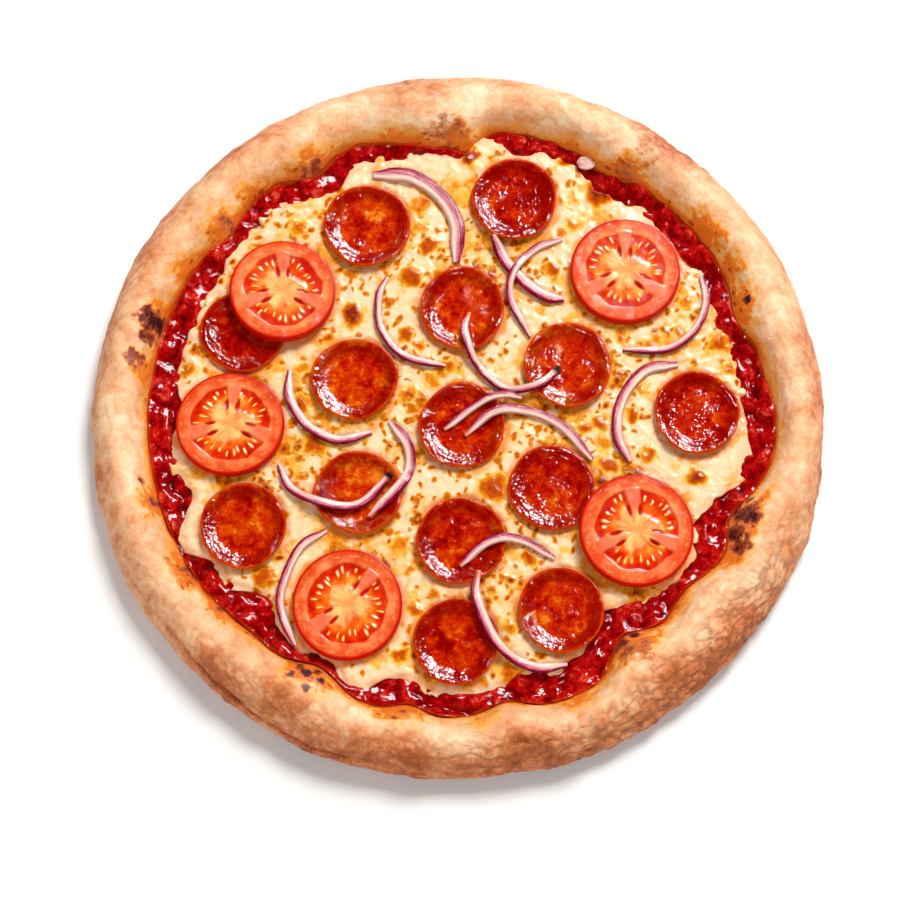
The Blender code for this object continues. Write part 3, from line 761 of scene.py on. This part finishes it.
# Pepperoni
def pepperoniMaterial():
    material, tree = startMaterial(
        "curedPepperoni", IOR=1.42, Specular_IOR_Level=0.0, Roughness=0.4, Coat_Weight=0.7,
        Coat_Roughness=0.08)
    place = objectPlace(tree)
    broad = grain(tree, place, 9.0, 4.0, 0.6, 0.5)
    meat = grain(tree, warped(tree, place, 6.0, 4.0), 3.0, 5.0, 0.62, 0.8)
    fine = grain(tree, place, 1.2, 4.0, 0.6)
    crinkle = grain(tree, warped(tree, place, 3.0, 2.0), 1.4, 1.0, 0.4)
    share, tint = mask(tree, "share"), mask(tree, "tint")
    level = weigh(tree, (broad, 2.5), (meat, 1.7), (tint, 0.55), start=-1.95)
    color = ramp(tree, level, (0.0, 142, 2, 0), (0.3, 178, 18, 0), (0.55, 198, 42, 0),
                 (0.8, 212, 74, 4), (1.0, 232, 124, 24))
    fat = weigh(tree, (fine, 0.8), (meat, 0.6), start=-0.7)
    dark = weigh(tree, (meat, -1.0), (broad, -0.8), start=0.9)
    color = layered(tree, color, (fat, 0.12, 0.2, 0.5, 228, 104, 34),
                    (dark, 0.1, 0.26, 0.5, 128, 2, 0))
    # painted shade: the inner wall of the cup is painted a darker red
    wall = math2(tree, "MULTIPLY", spread(tree, share, 0.6, 0.8), spread(tree, share, 0.98, 0.9))
    color = blendColor(tree, math2(tree, "MULTIPLY", wall, 0.68), color, shade(142, 5, 0))
    lip = weigh(tree, (share, 1.0), (meat, 0.12), start=-0.06)
    speckle = spread(tree, share, 0.5, 0.7, 0.45, 1.0)   # the wall is more wrinkled
    return finishMaterial(material, Normal=bumps(tree, meat, 1.1, 0.6),
                          Base_Color=layered(tree, color, (lip, 0.92, 0.99, 0.8, 206, 66, 6)),
                          Coat_Weight=spread(tree, share, 0.92, 0.98, 0.7, 0.15),
                          Coat_Normal=bumps(tree, crinkle, 0.42, speckle))


def makePepperoni():
    material = pepperoniMaterial()
    top = smoothLine([(0.0, 1.0), (0.5, 1.0), (0.74, 1.05), (0.9, 1.0), (0.965, 0.98)],
                     pepperoni["rings"])
    section = [tuple(point) for point in top]
    section += [(0.985, 0.93), (0.997, 0.8), (1.0, 0.62), (0.99, 0.42), (0.96, 0.26),
                (0.88, 0.12), (0.76, 0.0), (0.0, 0.0)]
    for index, (middle, half) in enumerate(pepperoniPlaces):
        node, name = f"pepperoni_{index + 1:02d}", f"pepperoniSlice{index + 1:02d}"
        draw = np.random.default_rng(40 + index)
        phases = draw.uniform(0.0, math.tau, 6)
        mesh = spunMesh(name, section, pepperoni["steps"])
        spots = readSpots(mesh)
        turn = np.arctan2(spots[:, 1], spots[:, 0])
        share = np.hypot(spots[:, 0], spots[:, 1])
        wave = sum(size * np.sin(times * turn + phase) for times, size, phase in
                   zip((1, 2, 3, 5, 7, 11), (0.16, 0.2, 0.14, 0.1, 0.07, 0.05), phases))
        outline = 1.0 + 0.014 * np.sin(2 * turn + phases[0]) + 0.012 * np.sin(3 * turn + phases[3])
        outline += 0.009 * np.sin(5 * turn + phases[4])
        x = middle[0] + spots[:, 0] * half[0] * outline * 0.985
        y = middle[1] + spots[:, 1] * half[1] * outline * 0.985
        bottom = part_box(node)[0].z / mm
        lift = pepperoni["curls"][index] * (1.0 + wave) * easeBetween(0.6, 1.0, share)
        flat = flatSpots(x, y)
        relief = 0.5 * roughNoise(flat, 7.5, 2, index) + 0.05 * softNoise(flat, 1.8, index)
        creases = np.column_stack([np.cos(turn) * 2.2, np.sin(turn) * 2.2, share * 11.0])
        relief += 0.35 * ridgeNoise(creases, 1.0, index) * easeBetween(0.62, 0.78, share) * (
            1.0 - easeBetween(0.9, 0.97, share))
        above = (spots[:, 2] > 0.6) & (share < 0.97)
        z = bottom + spots[:, 2] * pepperoni["thick"] + lift + relief * above - 0.15
        placeSpots(mesh, np.column_stack([x, y, z]))
        paint(mesh, share=share, tint=np.full_like(share, pepperoni["tints"][index]))
        dressPiece(name, mesh, material, "pepperoni", node)


# Tomato
def tomatoMaterial():
    material, tree = startMaterial(
        "freshTomato", IOR=1.38, Specular_IOR_Level=0.03, Roughness=0.35, Coat_Weight=0.45,
        Coat_Roughness=0.06, Subsurface_Weight=0.1, Subsurface_Scale=0.002,
        Subsurface_Radius=(1.0, 0.3, 0.12))
    place = objectPlace(tree)
    patchy = grain(tree, place, 3.0, 5.0, 0.6)
    fine = grain(tree, place, 0.8, 4.0, 0.6)
    streak, pale = mask(tree, "streak"), mask(tree, "pale")
    flesh = weigh(tree, (patchy, 0.8), (fine, 0.4), (streak, 0.35), (mask(tree, "rim"), -0.25),
                  start=-0.12)
    color = ramp(tree, flesh, (0.1, 210, 46, 10), (0.5, 234, 92, 42), (0.9, 248, 150, 92))
    color = blendColor(tree, math2(tree, "MULTIPLY", pale, 0.6), color, shade(240, 116, 88))
    color = masked(tree, color, dots=(248, 176, 120))
    heart = ramp(tree, weigh(tree, (streak, 0.5), (fine, 0.4), start=-0.08),
                 (0.0, 238, 120, 70), (0.35, 246, 168, 92), (0.7, 252, 208, 128))
    color = blendColor(tree, mask(tree, "core"), color, heart)
    jelly = weigh(tree, (patchy, 0.7), (streak, 0.35), (mask(tree, "deep"), -0.42), start=0.1)
    jelly = ramp(tree, jelly, (0.05, 196, 14, 0), (0.3, 222, 44, 2), (0.55, 240, 98, 10),
                 (0.8, 252, 164, 56))
    color = blendColor(tree, mask(tree, "gel"), color, jelly)
    color = blendColor(tree, mask(tree, "seed"), color, ramp(
        tree, weigh(tree, (mask(tree, "seed"), 0.8), (fine, 0.4), start=-0.15),
        (0.3, 226, 112, 16), (0.6, 242, 166, 48), (0.85, 252, 206, 108)))
    color = masked(tree, color, slit=(192, 12, 4), skin=(204, 22, 4))
    return finishMaterial(material, Base_Color=color, Normal=bumps(tree, fine, 0.25, 0.4),
                          Coat_Weight=spread(tree, mask(tree, "skin"), 0.0, 0.8, 0.45, 0.12),
                          Coat_Normal=bumps(tree, patchy, 0.5, 0.5))


def seedSpots(angle, share, draw):   # 1 in the middle of a seed, 0 outside it
    seed = np.zeros_like(share)
    for seedAngle in np.arange(0.0, 360.0, 12.5):
        centre = seedAngle + draw.uniform(-4.0, 4.0)
        radial = 0.58 + draw.uniform(-0.07, 0.05)
        length, width = draw.uniform(0.06, 0.11), draw.uniform(0.024, 0.036)
        away = np.radians(turnFrom(centre, angle))
        ahead = share * np.cos(away) - radial
        narrow = width * (1.0 - 0.45 * np.clip(-ahead / length, -1.0, 1.0))
        spot = np.hypot(ahead / length, share * np.sin(away) / narrow)
        seed = np.maximum(seed, 1.0 - easeBetween(0.45, 1.05, spot))
    return seed


def makeTomatoes():
    material = tomatoMaterial()
    top = [(share, 1.0) for share in np.linspace(0.0, 0.955, tomato["rings"])]
    section = top + [(0.975, 0.985), (0.99, 0.93), (0.998, 0.85), (1.0, 0.7), (1.0, 0.3),
                     (0.995, 0.14), (0.985, 0.05), (0.965, 0.0), (0.0, 0.0)]
    for index, (middle, half) in enumerate(tomatoPlaces):
        walls = tomato["walls"][index]
        propAngle, tilt, radii = tomato["props"][index]
        name = f"tomatoSlice{index + 1}"
        mesh = spunMesh(name, section, tomato["steps"])
        spots = readSpots(mesh)
        turn = np.arctan2(spots[:, 1], spots[:, 0])
        angle = angleOf(spots[:, 0], spots[:, 1])
        share = np.hypot(spots[:, 0], spots[:, 1])
        upper = spots[:, 2] > 0.9
        flat = flatSpots(spots[:, 0], spots[:, 1]) * 23.0
        wobble = 0.02 * softNoise(flat, 4.0, index * 3.0)
        rays = np.column_stack([np.cos(turn) * 3.6, np.sin(turn) * 3.6, share * 4.0 + index])
        streak = 0.5 + (0.6 * softNoise(rays, 1.0) + 0.3 * softNoise(rays * 2.2, 1.0)) * (
            easeBetween(0.02, 0.2, share)) + 0.25 * softNoise(flat, 2.5, 17.0)
        wall = np.zeros_like(share)
        slit = np.zeros_like(share)
        apart = easeBetween(0.12, 0.36, share)   # the walls melt into the heart
        for wallAngle in walls:
            away = np.radians(turnFrom(wallAngle, angle))
            along, side = share * np.cos(away), np.abs(share * np.sin(away))
            halfWall = 0.03 + 0.15 * along + wobble
            wall = np.maximum(wall, (along > 0.0) * apart * (
                1.0 - easeBetween(halfWall - 0.025, halfWall + 0.025, side)))
            hole = np.hypot((along - 0.36) / 0.13, (side - 0.1 - 0.13 * (along - 0.36)) / 0.044)
            slit = np.maximum(slit, 1.0 - easeBetween(0.55, 1.1, hole))
        outerEdge = 0.735 + wobble + 0.012 * np.sin(9 * turn)
        pocket = (1.0 - easeBetween(outerEdge - 0.02, outerEdge + 0.015, share)) * (1.0 - wall)
        heart = 0.36 + 0.05 * np.sin(3 * turn + 1.0) + 0.07 * (streak - 0.5)
        gel = pocket * easeBetween(heart - 0.06, heart + 0.06, share)
        seed = seedSpots(angle, share, np.random.default_rng(70 + index)) * gel
        core = (1.0 - easeBetween(0.16, 0.46, share - 0.24 * (streak - 0.5))) * 0.95
        core = np.maximum(core, 0.8 * pocket * (1.0 - gel))
        offset = (share - 0.87 + 2.0 * wobble + 0.02 * softNoise(flat, 2.0, 31.0)) / 0.018
        dots = 0.5 * np.exp(-offset ** 2) * easeBetween(0.1, 0.4, softNoise(flat, 1.5, 5.0))
        skin = np.where(upper, easeBetween(0.94, 0.962, share), easeBetween(0.9, 0.95, share))
        relief = -0.6 * gel + 0.45 * seed - 0.8 * slit + 0.12 * softNoise(flat, 3.0, 9.0)
        relief += 0.25 * wall * (share < 0.75) + 0.1 * (streak - 0.5) * (share < 0.45)
        lean = Matrix.Rotation(math.radians(propAngle), 3, "Z")
        lean = lean @ Matrix.Rotation(math.radians(-tilt), 3, "Y") @ lean.transposed()
        size = half[:2] if radii is None else radii
        local = np.column_stack([spots[:, 0] * size[0], spots[:, 1] * size[1],
                                 spots[:, 2] * tomato["thick"] + relief * upper])
        local = local @ np.array(lean).T
        local += (middle[0], middle[1], middle[2] - 0.5 * tomato["thick"])
        placeSpots(mesh, local)
        deep = easeBetween(0.4, 0.66, share)
        paint(mesh, gel=gel * upper, core=core * upper, seed=seed * upper, slit=slit * upper,
              skin=skin, dots=dots * upper, streak=streak, deep=deep,
              rim=easeBetween(0.76, 0.94, share),
              pale=np.maximum(wall * (1.0 - easeBetween(0.64, 0.84, share)),
                              1.0 - easeBetween(0.0, 0.5, share)))
        dressPiece(name, mesh, material, "tomato", f"tomato_{index + 1}")


# Onion
onion = {
    "thick": 2.2, "stations": 96, "sides": 20,
    "strips": [
        (6.2, [(-36, 106), (-19.5, 105), (-6.5, 95.5), (-0.5, 84), (0, 76), (-0.5, 66)]),
        (5.0, [(15, 77), (21.5, 65), (30, 55.5), (38, 50.5), (45, 49.5)]),
        (3.2, [(44.5, 76.5), (32.5, 71.5), (23.5, 60.5), (22.5, 49), (30.5, 32.5)]),
        (3.2, [(-29.5, 59.5), (-33, 50.5), (-32, 36.5), (-22.5, 24.5), (-5, 19.5)]),
        (3.4, [(5, 43), (3, 34), (8, 20.5), (19.5, 10), (32.5, 10), (42.5, 18.5)]),
        (3.3, [(103, 60.5), (104.5, 47.5), (98.5, 34.5), (87, 27), (69, 27)]),
        (4.4, [(92, 20.5), (78, 17.5), (68, 4.5), (66, -10.5), (71, -22)]),
        (4.0, [(-70, 18), (-69.5, 5.5), (-62, -6.5), (-49.5, -12.5), (-35.5, -9)]),
        (3.8, [(-73.5, -23), (-68, -33.5), (-54.5, -40.5), (-40, -40.5), (-27, -28)]),
        (4.4, [(-28, -4), (-20, -16), (-21.5, -30), (-36, -46)]),
        (3.8, [(3, -11), (14.5, -1.5), (29, 0), (43, -6.5), (55.5, -21)]),
        (3.2, [(-5.5, -8.5), (8, 2), (18, 6), (26.5, 5)]),
        (3.6, [(1, -66.5), (12, -57), (26, -55.5), (39.5, -63)]),
        (4.2, [(8.5, -69), (7.5, -79.5), (16, -99), (30.5, -108), (44, -107)]),
        (3.6, [(-53.5, -51), (-64.5, -59), (-71.5, -76.5), (-70.5, -87.5), (-65.5, -99)])],
    "charredEnds": (5, 9), "doubled": (1, 2)}

flake = {"place": (55.0, 111.5, 11.3), "size": (4.3, 3.5, 1.0)}


def onionMaterial():
    material, tree = startMaterial(
        "redOnion", IOR=1.38, Specular_IOR_Level=0.05, Coat_Weight=0.35, Coat_Roughness=0.1,
        Subsurface_Weight=0.12, Subsurface_Scale=0.0015, Subsurface_Radius=(1.0, 0.6, 0.6))
    across, along = mask(tree, "across"), mask(tree, "along")
    flow = add(tree, "ShaderNodeCombineXYZ", {0: math2(tree, "MULTIPLY", across, 3.6),
               1: math2(tree, "MULTIPLY", along, 0.8), 2: mask(tree, "layer")}).outputs[0]
    streaks, lines = [add(tree, "ShaderNodeTexNoise", {
        "Vector": flow, "Scale": scale, "Detail": detail, "Roughness": 0.6}).outputs["Fac"]
        for scale, detail in ((1.5, 4.0), (4.5, 2.0))]
    fine = grain(tree, objectPlace(tree), 1.2)
    # from the pale inner side of the bend to the dark skin on its outer side
    level = weigh(tree, (across, 0.46), (streaks, 0.8), (lines, 0.7), start=-0.25)
    color = ramp(tree, level, (0.05, 252, 228, 188), (0.25, 250, 224, 206), (0.45, 242, 188, 178),
                 (0.6, 216, 118, 138), (0.73, 174, 38, 84), (0.84, 120, 0, 40))
    inner = weigh(tree, (across, -1.0), (streaks, 0.7), start=-0.35)
    color = layered(tree, color, (inner, 0.55, 0.8, 0.6, 168, 60, 104))
    color = masked(tree, color, seam=(144, 26, 84), greasy=(226, 110, 54), charred=(38, 16, 18))
    ridges = bumps(tree, streaks, 0.5, 0.5)
    return finishMaterial(material, Base_Color=color, Normal=ridges, Coat_Normal=ridges,
                          Roughness=spread(tree, fine, 0.3, 0.7, 0.25, 0.4),
                          Coat_Weight=spread(tree, mask(tree, "charred"), 0.1, 0.6, 0.35, 0.02))


def toppingTop(x, y):   # highest pepperoni over a point, or nothing
    top = np.zeros_like(x)
    for (middle, half), curl in zip(pepperoniPlaces, pepperoni["curls"]):
        away = np.hypot(x - middle[0], y - middle[1])
        radius = (half[0] + half[1]) / 2
        lift = curl * easeBetween(0.55 * radius, 0.95 * radius, away)
        surface = middle[2] - half[2] + pepperoni["thick"] + 0.25 + lift
        top = np.where(away < radius + 0.5, np.maximum(top, surface), top)
    return top


def neighbours(values, reach):   # the values up to reach stations away from each, in rows
    padded = np.pad(values, reach, mode="edge")
    return [padded[shift:shift + len(values)] for shift in range(2 * reach + 1)]


def layStrip(width, points, lying):   # middle line, side, half width, underside of a strip
    line = smoothLine(points, onion["stations"] + 2)
    along = np.gradient(line, axis=0)
    along /= np.linalg.norm(along, axis=1)[:, None]
    side = np.column_stack([along[:, 1], -along[:, 0]])
    share = np.linspace(0.0, 1.0, len(line))
    half = 0.5 * width * (0.5 + 0.5 * easeBetween(0.0, 0.15, np.minimum(share, 1.0 - share)))
    tops = []
    for step in (-1.0, 0.0, 1.0):
        spot = line + side * (half * step)[:, None]
        tops += [cheeseTop(*spot.T), toppingTop(*spot.T)]
        for otherLine, otherHalf, otherTop in lying:
            gaps = np.hypot(spot[:, :1] - otherLine[:, 0], spot[:, 1:] - otherLine[:, 1])
            near = gaps < otherHalf + 0.9
            tops.append(np.where(near, otherTop, 0.0).max(axis=1))
    bottom = np.max(tops, axis=0)
    for _ in range(2):   # the strip bridges the dips and eases over the bumps
        bottom = 0.5 * np.max(neighbours(bottom, 5), axis=0) + 0.5 * bottom
    return line, side, half, np.mean(neighbours(bottom, 6), axis=0) + 0.1


def makeOnions():
    material = onionMaterial()
    lying = []
    for index, (width, points) in enumerate(onion["strips"]):
        number = index + 1
        line, side, half, bottom = layStrip(width, points, lying)
        if number in onion["charredEnds"]:   # the end swells into a burnt knob
            fromKnob = (np.linspace(0.0, 1.0, len(half)) - 0.965) / 0.025
            half = half * (1.0 + 0.7 * np.exp(-fromKnob ** 2))
        lying.append((line, half, bottom + onion["thick"]))
        form = bmesh.new()
        bmesh.ops.create_cone(form, cap_ends=True, segments=onion["sides"], radius1=1.0,
                              radius2=1.0, depth=1.0)
        long = [edge for edge in form.edges if abs(edge.verts[0].co.z - edge.verts[1].co.z) > 0.5]
        bmesh.ops.subdivide_edges(form, edges=long, cuts=onion["stations"], use_grid_fill=True)
        mesh = meshFrom(form, f"onionStrip{number:02d}")
        spots = readSpots(mesh)
        station = np.rint((spots[:, 2] + 0.5) * (onion["stations"] + 1)).astype(int)
        around = np.arctan2(spots[:, 0], spots[:, 1])
        across = np.sign(np.cos(around)) * np.abs(np.cos(around)) ** 0.75
        up = np.sign(np.sin(around)) * np.abs(np.sin(around)) ** 0.38
        bend = np.sum(np.cross(line[1:-1] - line[:-2], line[2:] - line[1:-1]))
        convex = across * np.sign(bend)   # the outer skin is on the outside of the bend
        share = station / (onion["stations"] + 1)
        thin = 0.55 + 0.45 * easeBetween(0.0, 0.2, np.minimum(share, 1.0 - share))
        thick = onion["thick"] * thin * (1.0 + 0.12 * convex)
        groove = 0.25 * np.cos(across * 7.0) * (up > 0.4) if number in onion["doubled"] else 0.0
        place = line[station] + side[station] * (half[station] * across)[:, None]
        height = bottom[station] + thick * (0.5 + 0.5 * up) - groove
        placeSpots(mesh, np.column_stack([place, height]))
        seam = (number in onion["doubled"]) * np.exp(-((across - 0.1) / 0.12) ** 2) * 0.8
        charred = (number in onion["charredEnds"]) * easeBetween(0.94, 0.97, share)
        tip = 1.0 - easeBetween(0.0, 0.09, np.minimum(share, 1.0 - share))
        greasy = 0.7 * tip * (toppingTop(place[:, 0], place[:, 1]) > 0.0)
        paint(mesh, across=convex, along=share * len(points), layer=np.full_like(share, number),
              seam=seam, charred=charred, greasy=greasy)
        dressPiece(f"onionStrip{number:02d}", mesh, material, "onion", f"onion_{number:02d}")


def makeFlake():   # a small pale bit of onion sunk in the far edge
    form = bmesh.new()
    bmesh.ops.create_icosphere(form, subdivisions=4, radius=1.0)
    mesh = meshFrom(form, "onionFlake")
    spots = readSpots(mesh)
    sides = np.hypot(spots[:, 0], spots[:, 1])
    lumpy = softNoise(spots, 1.1, 3.0)
    place = spots * flake["size"] * (1.0 + 0.14 * lumpy)[:, None] + flake["place"]
    place[:, 2] += 0.1 * sides ** 2
    placeSpots(mesh, place)
    blank = np.zeros(len(spots))
    paint(mesh, across=-0.15 - 0.1 * spots[:, 0], along=spots[:, 1], layer=blank + 30.0,
          charred=blank + 0.16)
    dressPiece("onionFlake", mesh, bpy.data.materials["redOnion"], "onion")


# Floor and light, in metres and watts
studio = {
    "floorSize": 3.0, "floorShade": 0.92, "world": 0.23,
    # place, width, height, power, colour, and whether wet pieces mirror it instead of being lit
    "lights": {
        "key": ((0.6, 1.05, 1.7), 0.75, 0.75, 42.0, (1.0, 0.985, 0.955), False),
        "sparkle": ((0.5, 0.8, 1.7), 0.12, 0.12, 7.5, (1.0, 1.0, 1.0), True),
        "gleam": ((0.66, 1.12, 0.94), 1.155, 0.55, 95.0, (1.0, 1.0, 1.0), True),
        "fill": ((-0.5, -1.4, 1.7), 1.0, 1.0, 15.0, (1.0, 0.985, 0.97), False)}}


def makeFloor():
    form = bmesh.new()
    bmesh.ops.create_grid(form, x_segments=1, y_segments=1, size=studio["floorSize"])
    mesh = meshFrom(form, "floor")
    floor = bpy.data.objects.new("floor", mesh)
    bpy.context.scene.collection.objects.link(floor)
    material, _ = startMaterial("paleFloor", Roughness=0.9, Specular_IOR_Level=0.1,
                                Base_Color=(*[studio["floorShade"]] * 3, 1.0))
    mesh.materials.append(material)


def setLight():
    for name, (place, width, height, power, color, mirrored) in studio["lights"].items():
        light = bpy.data.lights.new(name, "AREA")
        light.shape = "ELLIPSE"
        light.size, light.size_y = width, height
        light.energy = power
        light.color = color
        holder = bpy.data.objects.new(name, light)
        bpy.context.scene.collection.objects.link(holder)
        holder.location = place
        holder.rotation_euler = (-Vector(place)).to_track_quat("-Z", "Y").to_euler()
        holder.visible_glossy = mirrored
        holder.visible_diffuse = not mirrored
    world = bpy.data.worlds.new("studio")
    world.use_nodes = True
    background = world.node_tree.nodes["Background"].inputs
    background["Color"].default_value = (1.0, 1.0, 1.0, 1.0)
    background["Strength"].default_value = studio["world"]
    world.cycles_visibility.glossy = False   # wet pieces mirror the two small lights alone
    bpy.context.scene.world = world
    bpy.context.scene.view_settings.view_transform = "Standard"


setCamera()
makeCrust()
print("crust made")
makeSauce()
print("sauce made")
makeCheese()
makeShreds()
print("cheese made")
makePepperoni()
print("pepperoni made")
makeTomatoes()
print("tomatoes made")
makeOnions()
makeFlake()
print("onions made")
makeFloor()
setLight()
print("floor and light set")
